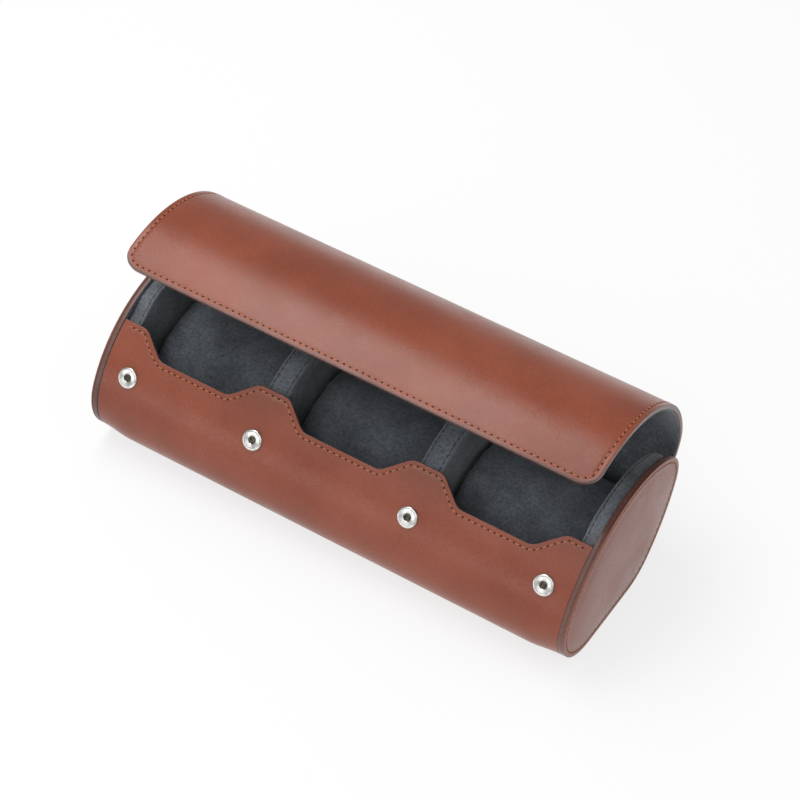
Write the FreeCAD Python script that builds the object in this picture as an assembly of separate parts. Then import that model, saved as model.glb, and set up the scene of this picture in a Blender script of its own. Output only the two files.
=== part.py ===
"""Three-bay leather watch roll with a snap-down flap, standing on its flat base.

The end outline is five tangent arcs and a flat base, in the YZ plane. A place on it is given by
the direction that the outline runs in, counted in degrees from the base: 90 faces the back,
180 is the top and 270 faces the front. Every leather, board and lining layer is a band that
follows this outline at some offset, so one change of a radius carries through to all of them.
Origin: on the floor in the middle of the roll's footprint, X along it, Y to the back, Z up.
"""
import FreeCAD, Part
import math
import os
from FreeCAD import Vector

# Whole roll
LENGTH = 260.0              # over both end covers
BASE_BACK_Y = 8.1           # where the flat base ends at the back
HEEL_RADIUS = 25.2
BACK_RADIUS = 71.9
SHOULDER_RADIUS = 20.7
CROWN_RADIUS = 60.5
HEEL_END = 43.8             # outline directions where one radius meets the next
BACK_END = 76.6
SHOULDER_END = 143.4
CROWN_END = 246.7

# Layers and clearances
LEATHER = 1.4
BOARD = 1.0
LINING = 0.7
SUEDE = 0.8
WRAP_RECESS = 1.2           # wrap leather lies this far inside the rim of the end panels
LAYER_GAP = 0.2             # between the wrap and what it is wrapped round
FLAP_GAP = 0.5              # closed flap lining to the rim

# End panels
COVER_THICK = 1.2
COVER_CROWN = 0.8           # height of the padded swell on the outer face
CROWN_INSET = 4.0           # stitched border left flat round the swell
CROWN_SLOPE = 5.0
BACKING_THICK = 2.0
PAD_INSET = 6.0
PAD_DEPTH = 1.0
INNER_WALL = 7.4

# Dividers
DIVIDER_X = 41.4
DIVIDER_WIDTH = 11.6

# Scalloped front edge of the wrap
TAB_TOP = 213.3
SCALLOP_FLOOR = 224.0
TAB_HALF_TOP = 8.2
TAB_HALF_FOOT = 20.6
END_TAB_TOP = 13.0          # from the wrap's end
END_TAB_FOOT = 25.6
SCALLOP_RADIUS = 5.0
CUTTER_REACH = 40.0         # the block that cuts the edge runs this far past the leather
CUTTER_DEPTH = 15.0

# Hinge of the flap
WRAP_BACK_END = 66.0
FLAP_START = 103.0
HINGE_DIRECTION = 82.0
HINGE_OFFSET = 0.8
OPEN_ANGLE = 38.0           # how far open the flap stands at rest

# Flap
FLAP_INSET = 6.0            # from the roll's ends
FLAP_END = 246.0
FLAP_CORNER = 9.0

# Snaps
SNAP_DIRECTION = 237.1
SNAP_INNER_X = 42.0
SNAP_END_INSET = 13.6       # outer snaps, from the wrap's ends
SOCKET_RADIUS = 5.1
SOCKET_HEIGHT = 1.4
SOCKET_EDGE = 0.5
SOCKET_WELL = 2.1
WELL_DEPTH = 1.0
SHANK_RADIUS = 1.5
FLANGE_RADIUS = 4.0
FLANGE_THICK = 0.6
STUD_BALL = 1.3
STUD_TIP = 0.9
STUD_REACH = 0.7            # out of the flap lining
FASTENER_GAP = 0.2

# Cushions
CUSHION_SCALE = 0.62        # its outline is the roll's own, made smaller
CUSHION_Y = 8.0             # where the cushion's flat underside ends at the back
CUSHION_GAP = 0.6           # to the walls beside it
CUSHION_SEAT_GAP = 0.3
CUSHION_SKIN = 1.0
CUSHION_DRAW_IN = 4.0       # sides pull in this much at the ends
CUSHION_SHOULDER = 9.0      # length over which they pull in


def sine(angle):
    return math.sin(math.radians(angle))


def cosine(angle):
    return math.cos(math.radians(angle))


def arc_chain(base_back, scale):
    """Five tangent arcs round a closed outline that stands on z = 0."""
    arcs = []
    y, z, start = base_back, 0.0, 0.0
    steps = (
        (HEEL_RADIUS, HEEL_END),
        (BACK_RADIUS, BACK_END),
        (SHOULDER_RADIUS, SHOULDER_END),
        (CROWN_RADIUS, CROWN_END),
    )
    for full_radius, end in steps:
        radius = full_radius * scale
        centre_y = y - radius * sine(start)
        centre_z = z + radius * cosine(start)
        arcs.append((start, end, centre_y, centre_z, radius))
        y = centre_y + radius * sine(end)
        z = centre_z - radius * cosine(end)
        start = end
    toe = z / (1.0 - cosine(start))
    arcs.append((start, 360.0, y - toe * sine(start), z + toe * cosine(start), toe))
    return arcs


def place(arcs, direction, offset=0.0, x=0.0):
    """Point on the outline at a direction, moved outwards by the offset."""
    turn = direction if direction <= 360.0 else direction - 360.0
    for start, end, centre_y, centre_z, radius in arcs:
        if start <= turn <= end:
            reach = radius + offset
            return Vector(x, centre_y + reach * sine(turn), centre_z - reach * cosine(turn))
    raise ValueError("no outline at direction %s" % direction)


def run(arcs, first, last, offset, x):
    """Edges along the outline from one direction to another, through the base if it is passed."""
    edges = []
    for lap in (0.0, 360.0):
        for start, end, centre_y, centre_z, radius in arcs:
            begin = max(first, start + lap)
            stop = min(last, end + lap)
            if stop - begin < 1e-6:
                continue
            reach = radius + offset
            spots = []
            for turn in (begin, (begin + stop) / 2.0, stop):
                spots.append(Vector(x, centre_y + reach * sine(turn), centre_z - reach * cosine(turn)))
            edges.append(Part.Arc(*spots).toShape())
        if lap == 0.0 and first < 360.0 < last:
            front = Vector(x, arcs[-1][2], -offset)
            back = Vector(x, arcs[0][2], -offset)
            edges.append(Part.makeLine(front, back))
    return edges


def closed_wire(arcs, offset, x, shift=Vector()):
    """The whole outline as a wire, with its flat base."""
    edges = run(arcs, 0.0, 360.0, offset, x)
    base = Part.makeLine(Vector(x, arcs[-1][2], -offset), Vector(x, arcs[0][2], -offset))
    wire = Part.Wire(Part.__sortEdges__(edges + [base]))
    wire.translate(shift)
    return wire


def plate(offset, x_from, x_to):
    """Flat plate with the end outline."""
    return Part.Face(closed_wire(OUTLINE, offset, x_from)).extrude(Vector(x_to - x_from, 0, 0))


def band(arcs, first, last, inner, outer, x_from, x_to):
    """Curved sheet that follows the outline between two offsets."""
    top = run(arcs, first, last, outer, x_from)
    under = run(arcs, first, last, inner, x_from)
    ends = []
    for direction in (first, last):
        lower = place(arcs, direction, inner, x_from)
        upper = place(arcs, direction, outer, x_from)
        ends.append(Part.makeLine(lower, upper))
    wire = Part.Wire(Part.__sortEdges__(top + under + ends))
    return Part.Face(wire).extrude(Vector(x_to - x_from, 0, 0))


def local_frame(direction, x):
    """Point on the outline with its outward normal and the way the outline runs."""
    normal = Vector(0, sine(direction), -cosine(direction))
    along = Vector(0, cosine(direction), sine(direction))
    return place(OUTLINE, direction, 0.0, x), normal, along


def mirrored(shape):
    return shape.mirror(Vector(0, 0, 0), Vector(1, 0, 0))


def opened(shape):
    """Turn a piece of the closed flap to the angle at which the flap stands at rest."""
    turned = shape.copy()
    turned.rotate(HINGE, Vector(-1, 0, 0), OPEN_ANGLE)
    return turned


def save(name, shape):
    for solid in shape.Solids:
        if not solid.isValid():
            raise ValueError("%s is not a valid solid" % name)
    shape.exportStep("parts/%s.step" % name)
    print("%-24s %2d solids %10.1f mm3" % (name, len(shape.Solids), shape.Volume))


# Sizes worked out from those above
OUTLINE = arc_chain(BASE_BACK_Y, 1.0)
HALF = LENGTH / 2.0
COVER_FOOT = HALF - COVER_CROWN                 # flat border of the end cover
BACKING_OUT = COVER_FOOT - COVER_THICK
WRAP_HALF = BACKING_OUT - BACKING_THICK         # the wrap butts on the backing from inside
LEATHER_OUT = -WRAP_RECESS
BOARD_OUT = LEATHER_OUT - LEATHER
LINING_OUT = BOARD_OUT - BOARD
WRAP_IN = LINING_OUT - LINING
WALL_OUT = WRAP_IN - LAYER_GAP                  # edge of the walls and dividers
FLAP_LINING_OUT = FLAP_GAP + LINING
FLAP_BOARD_OUT = FLAP_LINING_OUT + BOARD
FLAP_OUT = FLAP_BOARD_OUT + LEATHER
FLAP_HALF = HALF - FLAP_INSET
HINGE = place(OUTLINE, HINGE_DIRECTION, HINGE_OFFSET)
SNAP_OUTER_X = WRAP_HALF - SNAP_END_INSET
SNAP_XS = (-SNAP_OUTER_X, -SNAP_INNER_X, SNAP_INNER_X, SNAP_OUTER_X)


def rounded_polygon(corners, origin, along_x, along_y, radius):
    """Wire through flat corners, with every corner that is not marked square rounded."""
    def spot(a, b):
        return origin + along_x * a + along_y * b

    edges = []
    joints = []
    count = len(corners)
    for index in range(count):
        here = spot(*corners[index][:2])
        if corners[index][2]:
            joints.append((here, here, None))
            continue
        before = spot(*corners[index - 1][:2]) - here
        after = spot(*corners[(index + 1) % count][:2]) - here
        half = before.getAngle(after) / 2.0
        before.normalize()
        after.normalize()
        back_off = radius / math.tan(half)
        bisector = before + after
        bisector.normalize()
        middle = here + bisector * (radius / math.sin(half) - radius)
        joints.append((here + before * back_off, here + after * back_off, middle))
    for index in range(count):
        enter, leave, middle = joints[index]
        if middle is not None:
            edges.append(Part.Arc(enter, middle, leave).toShape())
        edges.append(Part.makeLine(leave, joints[(index + 1) % count][0]))
    return Part.Wire(Part.__sortEdges__(edges))


def scallop_cutter():
    """Everything above the scalloped front edge, as one block set square to the leather."""
    level = (TAB_TOP + SCALLOP_FLOOR) / 2.0
    origin, normal, along = local_frame(level, 0.0)
    half_rise = CROWN_RADIUS * math.radians(SCALLOP_FLOOR - TAB_TOP) / 2.0
    clear = CUTTER_REACH
    side = WRAP_HALF + clear
    line = [(-side, -half_rise, True)]
    outer_foot = WRAP_HALF - END_TAB_FOOT
    outer_top = WRAP_HALF - END_TAB_TOP
    inner_foot = DIVIDER_X - TAB_HALF_FOOT
    inner_top = DIVIDER_X - TAB_HALF_TOP
    bays = (
        (-outer_top, -outer_foot, -DIVIDER_X - TAB_HALF_FOOT, -DIVIDER_X - TAB_HALF_TOP),
        (-inner_top, -inner_foot, inner_foot, inner_top),
        (DIVIDER_X + TAB_HALF_TOP, DIVIDER_X + TAB_HALF_FOOT, outer_foot, outer_top),
    )
    for top_left, foot_left, foot_right, top_right in bays:
        line.append((top_left, -half_rise, False))
        line.append((foot_left, half_rise, False))
        line.append((foot_right, half_rise, False))
        line.append((top_right, -half_rise, False))
    line += [(side, -half_rise, True), (side, -clear, True), (-side, -clear, True)]
    low = origin - normal * CUTTER_DEPTH
    wire = rounded_polygon(line, low, Vector(1, 0, 0), along, SCALLOP_RADIUS)
    return Part.Face(wire).extrude(normal * (2.0 * CUTTER_DEPTH))


def discs(radius, inner, outer):
    """One round disc at each snap, between two offsets from the outline."""
    pieces = []
    for x in SNAP_XS:
        spot, normal, along = local_frame(SNAP_DIRECTION, x)
        pieces.append(Part.makeCylinder(radius, outer - inner, spot + normal * inner, normal))
    return pieces


def wrap_layer(inner, outer, cutter, hole):
    """One layer of the wrap, from the scalloped front under the base to the back."""
    above = TAB_TOP - (SCALLOP_FLOOR - TAB_TOP)
    sheet = band(OUTLINE, above, WRAP_BACK_END + 360.0, inner, outer, -WRAP_HALF, WRAP_HALF)
    sheet = sheet.cut(cutter)
    for tool in discs(hole, inner - LAYER_GAP, outer + LAYER_GAP):
        sheet = sheet.cut(tool)
    return sheet


def make_wrap():
    cutter = scallop_cutter()
    save("outer_wrap", wrap_layer(BOARD_OUT, LEATHER_OUT, cutter, SHANK_RADIUS))
    save("wrap_board", wrap_layer(LINING_OUT, BOARD_OUT, cutter, FLANGE_RADIUS + FASTENER_GAP))
    above = TAB_TOP - (SCALLOP_FLOOR - TAB_TOP)
    lining = band(OUTLINE, above, WRAP_BACK_END + 360.0, WRAP_IN, LINING_OUT, -WRAP_HALF, WRAP_HALF)
    save("wrap_lining", lining.cut(cutter))


def end_cover():
    """Outer leather of an end panel, with its padded swell inside the stitched border."""
    border = plate(0.0, BACKING_OUT, COVER_FOOT)
    foot = closed_wire(OUTLINE, -CROWN_INSET, COVER_FOOT)
    crown = closed_wire(OUTLINE, -CROWN_INSET - CROWN_SLOPE, HALF)
    return border.fuse(Part.makeLoft([foot, crown], True)).removeSplitter()


def end_backing():
    whole = plate(0.0, WRAP_HALF, BACKING_OUT)
    return whole.cut(plate(-PAD_INSET, BACKING_OUT - PAD_DEPTH, BACKING_OUT))


def sleeve(x_from, x_to):
    """Suede sleeve round a wall, and the board inside it."""
    outside = plate(WALL_OUT, x_from, x_to)
    board = plate(WALL_OUT - SUEDE, x_from + SUEDE, x_to - SUEDE)
    return outside.cut(board), board


def make_ends():
    wall_cover, wall_board = sleeve(WRAP_HALF - INNER_WALL, WRAP_HALF)
    pieces = {
        "end_cover": end_cover(),
        "end_padding": plate(-PAD_INSET, BACKING_OUT - PAD_DEPTH, BACKING_OUT),
        "end_backing": end_backing(),
        "inner_wall_cover": wall_cover,
        "inner_wall_board": wall_board,
    }
    for name, shape in pieces.items():
        save("right_" + name, shape)
        save("left_" + name, mirrored(shape))


def make_dividers():
    cover, board = sleeve(DIVIDER_X - DIVIDER_WIDTH / 2.0, DIVIDER_X + DIVIDER_WIDTH / 2.0)
    save("right_divider_cover", cover)
    save("right_divider_board", board)
    save("left_divider_cover", mirrored(cover))
    save("left_divider_board", mirrored(board))


def cushion_solid(half, skin):
    """Pillow that is full in the middle and drawn in at both ends."""
    arcs = arc_chain(CUSHION_Y, CUSHION_SCALE)
    seat = Vector(0, 0, -WRAP_IN + CUSHION_SEAT_GAP)
    stations = (
        (-half, CUSHION_DRAW_IN),
        (-half + CUSHION_SHOULDER / 3.0, CUSHION_DRAW_IN / 3.0),
        (-half + CUSHION_SHOULDER, 0.0),
        (half - CUSHION_SHOULDER, 0.0),
        (half - CUSHION_SHOULDER / 3.0, CUSHION_DRAW_IN / 3.0),
        (half, CUSHION_DRAW_IN),
    )
    wires = []
    for x, draw_in in stations:
        wires.append(closed_wire(arcs, -skin - draw_in, x, seat))
    return Part.makeLoft(wires, True, True)


def make_cushions():
    bay_outer = WRAP_HALF - INNER_WALL
    bay_inner = DIVIDER_X + DIVIDER_WIDTH / 2.0
    side_half = (bay_outer - bay_inner) / 2.0 - CUSHION_GAP
    middle_half = DIVIDER_X - DIVIDER_WIDTH / 2.0 - CUSHION_GAP
    side_x = (bay_outer + bay_inner) / 2.0
    bays = (("left", -side_x, side_half), ("middle", 0.0, middle_half), ("right", side_x, side_half))
    for name, x, half in bays:
        core = cushion_solid(half - CUSHION_SKIN, CUSHION_SKIN)
        cover = cushion_solid(half, 0.0).cut(core)
        for kind, shape in (("cover", cover), ("core", core)):
            shape.translate(Vector(x, 0, 0))
            save("%s_cushion_%s" % (name, kind), shape)


def corner_cutter(side):
    """What lies outside a rounded front corner of the flap, square to the leather there."""
    spot, normal, along = local_frame(FLAP_END, side * (FLAP_HALF - FLAP_CORNER))
    centre = spot - along * FLAP_CORNER - normal * CUTTER_DEPTH
    across = Vector(side, 0, 0)
    reach = 2.0 * FLAP_CORNER
    corners = [centre, centre + across * reach, centre + (across + along) * reach, centre + along * reach]
    block = Part.Face(Part.makePolygon(corners + [centre])).extrude(normal * 2.0 * CUTTER_DEPTH)
    return block.cut(Part.makeCylinder(FLAP_CORNER, 2.0 * CUTTER_DEPTH, centre, normal))


def flap_layer(inner, outer, hole):
    """One layer of the flap, with rounded front corners, at its rest angle."""
    sheet = band(OUTLINE, FLAP_START, FLAP_END, inner, outer, -FLAP_HALF, FLAP_HALF)
    for side in (-1, 1):
        sheet = sheet.cut(corner_cutter(side))
    if hole:
        for tool in discs(hole, inner - LAYER_GAP, outer):
            sheet = sheet.cut(tool)
    return opened(sheet)


def make_flap():
    seat = FLANGE_RADIUS + FASTENER_GAP
    save("flap_lining", flap_layer(FLAP_GAP, FLAP_LINING_OUT, seat))
    save("flap_board", flap_layer(FLAP_LINING_OUT, FLAP_BOARD_OUT, seat))
    save("flap_leather", flap_layer(FLAP_BOARD_OUT, FLAP_OUT, 0.0))


def make_hinge():
    """Bare leather that bends between the wrap and the flap, at its rest shape."""
    flap_low = place(OUTLINE, FLAP_START, FLAP_BOARD_OUT)
    flap_high = place(OUTLINE, FLAP_START, FLAP_OUT)
    turn = FreeCAD.Rotation(Vector(-1, 0, 0), OPEN_ANGLE)
    lower = [place(OUTLINE, WRAP_BACK_END, BOARD_OUT), HINGE + turn.multVec(flap_low - HINGE)]
    upper = [place(OUTLINE, WRAP_BACK_END, LEATHER_OUT), HINGE + turn.multVec(flap_high - HINGE)]
    bow = place(OUTLINE, HINGE_DIRECTION, 0.0) - place(OUTLINE, HINGE_DIRECTION, -1.0)
    sides = []
    for start, end in (lower, upper):
        middle = (start + end) * 0.5 + bow * LEATHER
        sides.append(Part.Arc(start, middle, end).toShape())
    caps = [Part.makeLine(lower[0], upper[0]), Part.makeLine(lower[1], upper[1])]
    wire = Part.Wire(Part.__sortEdges__(sides + caps))
    wire.translate(Vector(-FLAP_HALF, 0, 0))
    save("hinge_leather", Part.Face(wire).extrude(Vector(2.0 * FLAP_HALF, 0, 0)))


def make_snaps():
    sockets = []
    eyelets = []
    studs = []
    caps = []
    for x in SNAP_XS:
        spot, normal, along = local_frame(SNAP_DIRECTION, x)
        face = spot + normal * LEATHER_OUT
        ring = Part.makeCylinder(SOCKET_RADIUS, SOCKET_HEIGHT, face, normal)
        rim = []
        for edge in ring.Edges:
            if edge.Closed and (edge.CenterOfMass - face).Length > SOCKET_EDGE:
                rim.append(edge)
        ring = ring.makeFillet(SOCKET_EDGE, rim)
        well_floor = face + normal * (SOCKET_HEIGHT - WELL_DEPTH)
        sockets.append(ring.cut(Part.makeCylinder(SOCKET_WELL, SOCKET_HEIGHT, well_floor, normal)))
        shank_length = LEATHER + FASTENER_GAP
        shank = Part.makeCylinder(SHANK_RADIUS, shank_length, face - normal * shank_length, normal)
        foot = face - normal * (shank_length + FLANGE_THICK)
        washer = Part.makeCylinder(FLANGE_RADIUS, FLANGE_THICK, foot, normal)
        eyelets.append(shank.fuse(washer).removeSplitter())
        under = spot + normal * FLAP_GAP
        flange = Part.makeCylinder(FLANGE_RADIUS, LINING, under, normal)
        post = Part.makeCone(STUD_BALL, STUD_TIP, STUD_REACH, under, normal * -1.0)
        studs.append(opened(flange.fuse(post).removeSplitter()))
        behind = spot + normal * FLAP_LINING_OUT
        caps.append(opened(Part.makeCylinder(FLANGE_RADIUS, FLANGE_THICK, behind, normal)))
    save("snap_sockets", Part.makeCompound(sockets))
    save("socket_eyelets", Part.makeCompound(eyelets))
    save("snap_studs", Part.makeCompound(studs))
    save("stud_caps", Part.makeCompound(caps))


os.makedirs("parts", exist_ok=True)
make_wrap()
make_ends()
make_dividers()
make_cushions()
make_hinge()
make_flap()
make_snaps()
top = max(place(OUTLINE, turn).z for turn in range(90, 270))
print("outline height %.1f, hinge y %.2f z %.2f, seat %.2f" % (top, HINGE.y, HINGE.z, -WRAP_IN))
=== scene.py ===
# %% [markdown]
# A leather watch roll, dressed for its photograph.
# The roll is a wrap of waxed leather round an oval section, with two padded end panels, suede walls
# inside, three cushions and a stiff flap that snaps down over the front.
# The solids come in first as a fixed frame. The wrap, the flap and their linings are then made the way a
# leather worker would: cut flat, with their own edge lines, and bent round the section. The panels, walls,
# cushions and snaps each have a way of their own.

# %% Bring in the frame
import math
import bpy
import bmesh
from mathutils import Matrix, Vector, noise


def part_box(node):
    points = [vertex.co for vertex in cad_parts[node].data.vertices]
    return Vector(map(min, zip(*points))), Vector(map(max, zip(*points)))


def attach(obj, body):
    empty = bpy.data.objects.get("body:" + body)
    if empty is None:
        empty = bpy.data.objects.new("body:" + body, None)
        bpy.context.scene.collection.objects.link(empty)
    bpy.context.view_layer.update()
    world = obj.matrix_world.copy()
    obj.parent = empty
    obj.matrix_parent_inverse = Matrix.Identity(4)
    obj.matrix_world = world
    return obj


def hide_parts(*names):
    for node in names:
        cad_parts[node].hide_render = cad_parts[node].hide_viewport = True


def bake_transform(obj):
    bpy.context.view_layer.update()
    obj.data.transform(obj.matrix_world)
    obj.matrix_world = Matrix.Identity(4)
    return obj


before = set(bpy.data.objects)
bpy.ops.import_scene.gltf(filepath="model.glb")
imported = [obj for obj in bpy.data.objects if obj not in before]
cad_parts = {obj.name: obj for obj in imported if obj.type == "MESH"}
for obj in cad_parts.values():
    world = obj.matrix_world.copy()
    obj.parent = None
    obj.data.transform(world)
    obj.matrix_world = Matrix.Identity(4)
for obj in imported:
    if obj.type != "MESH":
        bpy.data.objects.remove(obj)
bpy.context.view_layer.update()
MM = 0.001
SIDES = (("right", 1), ("left", -1))

# %% [markdown]
# The section is five tangent arcs standing on a flat base. A place on it is named by the direction in
# which the outline runs there: 0 along the base, 90 up the back, 180 over the top, 270 down the front.
# The roll's lengths are in millimetres, and are made metres when a mesh is placed. Bumps, lamps, floor and
# camera are in metres from the start.

# %% The section of the roll
BASE_BACK = 8.1
# Radius of the heel, back, shoulder and crown arcs, and the direction at which each ends.
# The toe is the arc that closes the outline.
TURNS = ((25.2, 43.8), (71.9, 76.6), (20.7, 143.4), (60.5, 246.7))
SAME_SPOT = 1e-6


def section_arcs():
    """Each arc as (first direction, last direction, centre y, centre z, radius)."""
    arcs = []
    y, z, start = BASE_BACK, 0.0, 0.0
    for radius, end in TURNS:
        a, b = math.radians(start), math.radians(end)
        cy = y - radius * math.sin(a)
        cz = z + radius * math.cos(a)
        arcs.append((start, end, cy, cz, radius))
        y = cy + radius * math.sin(b)
        z = cz - radius * math.cos(b)
        start = end
    a = math.radians(start)
    toe = z / (1.0 - math.cos(a))
    arcs.append((start, 360.0, y - toe * math.sin(a), z + toe * math.cos(a), toe))
    return arcs


SECTION = section_arcs()
BASE_FRONT = SECTION[-1][2]


def follow(arcs, first, last, offset, step=1.5):
    """Points along the arcs between two directions, at an offset."""
    spots = []
    for start, end, cy, cz, radius in arcs:
        begin, stop = max(first, start), min(last, end)
        if stop <= begin:
            continue
        reach = radius + offset
        count = max(2, round(reach * math.radians(stop - begin) / step))
        for k in range(count + 1):
            a = math.radians(begin + (stop - begin) * k / count)
            spots.append((cy + reach * math.sin(a), cz - reach * math.cos(a)))
    tidy = spots[:1]
    for spot in spots[1:]:
        if math.dist(spot, tidy[-1]) > SAME_SPOT:
            tidy.append(spot)
    return tidy


print("base from %.1f to %.1f mm" % (BASE_FRONT, BASE_BACK))

# %% [markdown]
# A flat piece is bent along a line in the section. The line knows its own length, so a distance measured on
# the flat leather gives a place on the bent piece, and the direction that points out of it there.

# %% Lines that leather is bent along
class Path:
    """A line in the section that a flat piece is bent along."""

    def __init__(self, spots):
        self.spots = spots
        self.reach = [0.0]
        for a, b in zip(spots, spots[1:]):
            self.reach.append(self.reach[-1] + math.dist(a, b))
        self.length = self.reach[-1]

    def at(self, s):
        """y, z and the outward normal at a distance along the line."""
        s = min(max(s, 0.0), self.length)
        low, high = 0, len(self.reach) - 1
        while high - low > 1:
            middle = (low + high) // 2
            if self.reach[middle] <= s:
                low = middle
            else:
                high = middle
        t = (s - self.reach[low]) / (self.reach[high] - self.reach[low])
        a, b = Vector(self.spots[low]), Vector(self.spots[high])
        before = Vector(self.spots[max(low - 1, 0)])
        after = Vector(self.spots[min(high + 1, len(self.spots) - 1)])
        run = (b - before).normalized().lerp((after - a).normalized(), t).normalized()
        spot = a.lerp(b, t)
        return spot.x, spot.y, run.y, -run.x

    def point(self, x, s, lift=0.0):
        y, z, ny, nz = self.at(s)
        return Vector((x, y + ny * lift, z + nz * lift)) * MM

    def normal(self, s):
        y, z, ny, nz = self.at(s)
        return Vector((0.0, ny, nz))

    def direction(self, s):
        """The direction, in degrees, in which the line runs."""
        y, z, ny, nz = self.at(s)
        return math.degrees(math.atan2(ny, -nz)) % 360.0


print("outline without its base %.0f mm" % Path(follow(SECTION, 0.0, 360.0, 0.0)).length)

# %% [markdown]
# Two lines carry the leather. One runs from above the scalloped edge down the front and under the base. The
# other goes up the back, bends freely at the hinge and runs on to the front edge of the open flap, so the
# back, hinge and flap are one hide with no seam between them. They meet under the base, out of sight.

# %% Lines for the front and for the back with the flap
WRAP_END = 66.0
FLAP_START = 103.0
FLAP_END = 246.0
EDGE_ROOM = 205.0
BASE_MEETING = -6.0
BEND_STEPS = 20
HINGE_Y = 46.87
HINGE_Z = 44.05
OPEN_ANGLE = math.radians(38.0)


def opened(spot):
    """Turn a place on the closed flap to where the flap stands in the photograph."""
    y, z = spot[0] - HINGE_Y, spot[1] - HINGE_Z
    c, s = math.cos(OPEN_ANGLE), math.sin(OPEN_ANGLE)
    return (HINGE_Y + y * c + z * s, HINGE_Z - y * s + z * c)


def front_path(offset):
    """From above the scalloped edge, down the front and under the base."""
    spots = follow(SECTION, EDGE_ROOM, 360.0, offset)
    return Path(spots + [(BASE_MEETING, -offset)])


def back_path(wrap_offset, flap_offset):
    """Up the back, through a smooth bend and over the open flap."""
    low = [(BASE_MEETING, -wrap_offset)] + follow(SECTION, 0.0, WRAP_END, wrap_offset)
    high = [opened(spot) for spot in follow(SECTION, FLAP_START, FLAP_END, flap_offset)]
    start, end = Vector(low[-1]), Vector(high[0])
    pull = (end - start).length
    leave = (start - Vector(low[-2])).normalized() * pull
    arrive = (Vector(high[1]) - end).normalized() * pull
    bend = []
    for k in range(1, BEND_STEPS):
        t = k / BEND_STEPS
        share = (2 * t**3 - 3 * t**2 + 1, t**3 - 2 * t**2 + t, -2 * t**3 + 3 * t**2, t**3 - t**2)
        bend.append(tuple(start * share[0] + leave * share[1] + end * share[2] + arrive * share[3]))
    path = Path(low + bend + high)
    path.bend_from = path.reach[len(low) - 1]
    path.bend_to = path.reach[len(low) + len(bend)]
    return path


# How far the outer face of each sheet lies outside the section.
WRAP_SKIN = -0.5
WRAP_LINING_SKIN = -2.85
FLAP_SKIN = 3.6
FLAP_LINING_SKIN = 1.2
LEATHER_FRONT = front_path(WRAP_SKIN)
LEATHER_BACK = back_path(WRAP_SKIN, FLAP_SKIN)
LINING_FRONT = front_path(WRAP_LINING_SKIN)
LINING_BACK = back_path(WRAP_LINING_SKIN, FLAP_LINING_SKIN)
print("front leather %.0f mm" % LEATHER_FRONT.length, "back and flap leather %.0f mm" % LEATHER_BACK.length)

# %% [markdown]
# Every finish is one Principled shader with noise on it, because no real surface is a single flat colour.
# A picture could be wrapped round the pieces instead, but noise has no seams and needs no file.
# A colour ramp turns the noise into colours, and Bump turns it into fine relief.

# %% Noise and relief
def grey(value):
    return (value, value, value)


def new_finish(name, roughness, metallic=0.0):
    finish = bpy.data.materials.new(name)
    finish.use_nodes = True
    shader = finish.node_tree.nodes["Principled BSDF"]
    shader.inputs["Roughness"].default_value = roughness
    shader.inputs["Metallic"].default_value = metallic
    return finish, finish.node_tree.nodes, finish.node_tree.links, shader


def clouds(nodes, links, where, scale, detail, stops):
    """Noise through a colour ramp."""
    cloud = nodes.new("ShaderNodeTexNoise")
    cloud.inputs["Scale"].default_value = scale
    cloud.inputs["Detail"].default_value = detail
    links.new(where.outputs["Object"], cloud.inputs["Vector"])
    ramp = nodes.new("ShaderNodeValToRGB")
    ramp.color_ramp.elements[0].position = stops[0][0]
    ramp.color_ramp.elements[0].color = (*stops[0][1], 1.0)
    ramp.color_ramp.elements[1].position = stops[-1][0]
    ramp.color_ramp.elements[1].color = (*stops[-1][1], 1.0)
    for position, colour in stops[1:-1]:
        stop = ramp.color_ramp.elements.new(position)
        stop.color = (*colour, 1.0)
    links.new(cloud.outputs["Fac"], ramp.inputs["Fac"])
    return ramp


def multiply(nodes, links, first, second, amount):
    mix = nodes.new("ShaderNodeMix")
    mix.data_type = "RGBA"
    mix.blend_type = "MULTIPLY"
    mix.inputs["Factor"].default_value = amount
    links.new(first, mix.inputs["A"])
    links.new(second, mix.inputs["B"])
    return mix.outputs["Result"]


def bumps(nodes, links, heights, shader):
    """Stack height maps of (socket, strength, depth in metres) on the shader's normal."""
    below = None
    for height, strength, depth in heights:
        bump = nodes.new("ShaderNodeBump")
        bump.inputs["Strength"].default_value = strength
        bump.inputs["Distance"].default_value = depth
        links.new(height, bump.inputs["Height"])
        if below is not None:
            links.new(below, bump.inputs["Normal"])
        below = bump.outputs["Normal"]
    links.new(below, shader.inputs["Normal"])


print("tools for the finishes are ready")

# %% [markdown]
# Waxed leather is never one colour. Large soft clouds of darker and redder brown come from the dye,
# fine pores from the grain, and the wax gives a low sheen that changes a little from place to place.
# All of it is built from noise on Object coordinates, because the pieces sit at the origin.

# %% Leather
DYE_CLOUDS = 22.0
DRAPE_CLOUDS = 45.0
SHEEN_CLOUDS = 60.0
FLECKS = 900.0
PORES = 1150.0


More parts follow.
